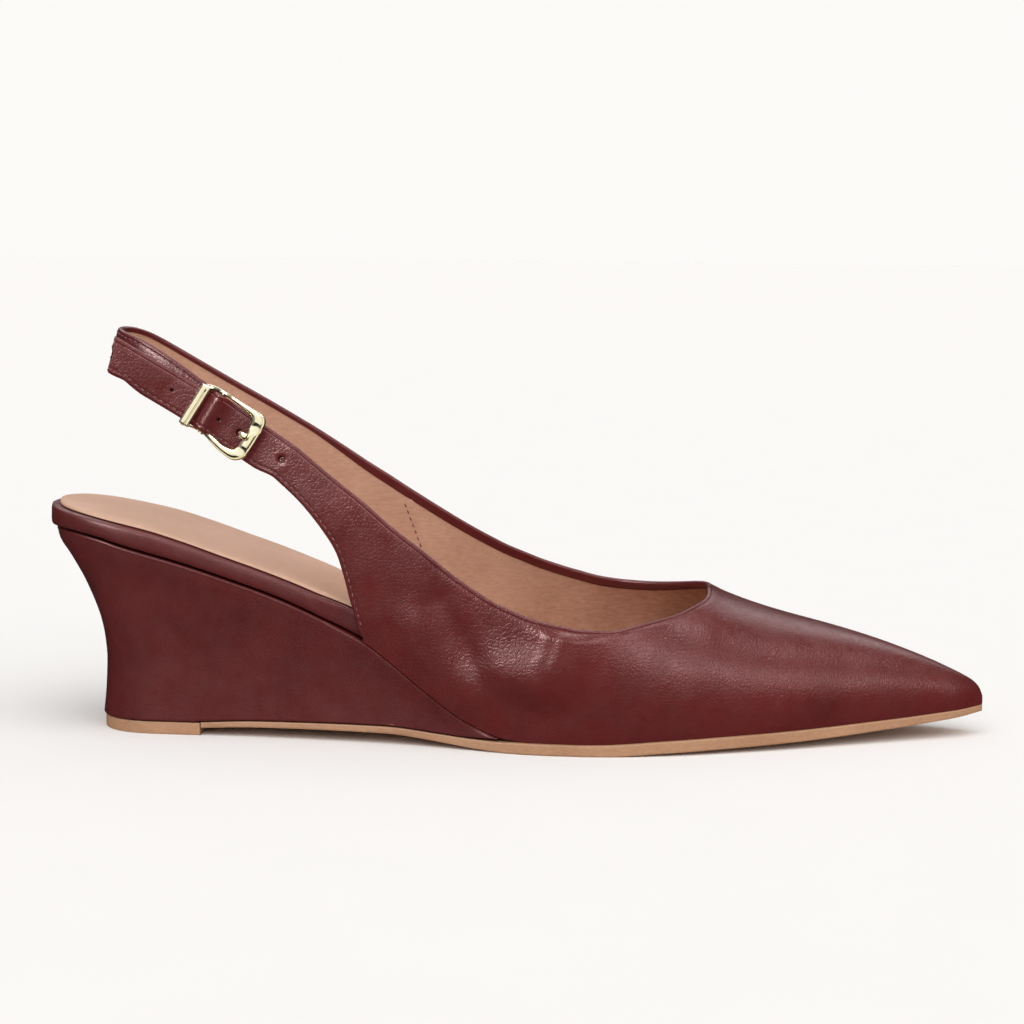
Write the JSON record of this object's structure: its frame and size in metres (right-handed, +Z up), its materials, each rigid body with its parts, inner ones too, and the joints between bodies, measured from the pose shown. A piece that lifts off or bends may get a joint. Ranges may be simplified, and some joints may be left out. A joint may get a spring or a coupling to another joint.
{
  "type": "slingback wedge pump",
  "caption": "Pointed-toe slingback pump with a covered wedge heel, thin sole and a side buckle on the heel strap, shown as a right shoe.",
  "frame": {"origin": "on the floor, on the flat underside of the heel's top piece, near its middle", "axes": "+X from the heel towards the toe, +Y towards the inner side of the foot, +Z up; the buckle is on the -Y side"},
  "size_m": [0.2618, 0.0777, 0.1115],
  "materials": {
    "burgundy_leather": "semi-gloss with a fine crinkle",
    "burgundy_wrap": "semi-gloss",
    "tan_lining": "soft matt",
    "tan_sole": "satin",
    "pale_gold": "polished"
  },
  "bodies": {
    "root": {"upper": "burgundy_leather", "wedge": "burgundy_wrap", "insole_board": "burgundy_wrap", "sock": "tan_lining", "outsole": "tan_sole", "top_piece": "tan_sole", "buckle_frame": "pale_gold", "buckle_prong": "pale_gold"}
  },
  "joints": []
}
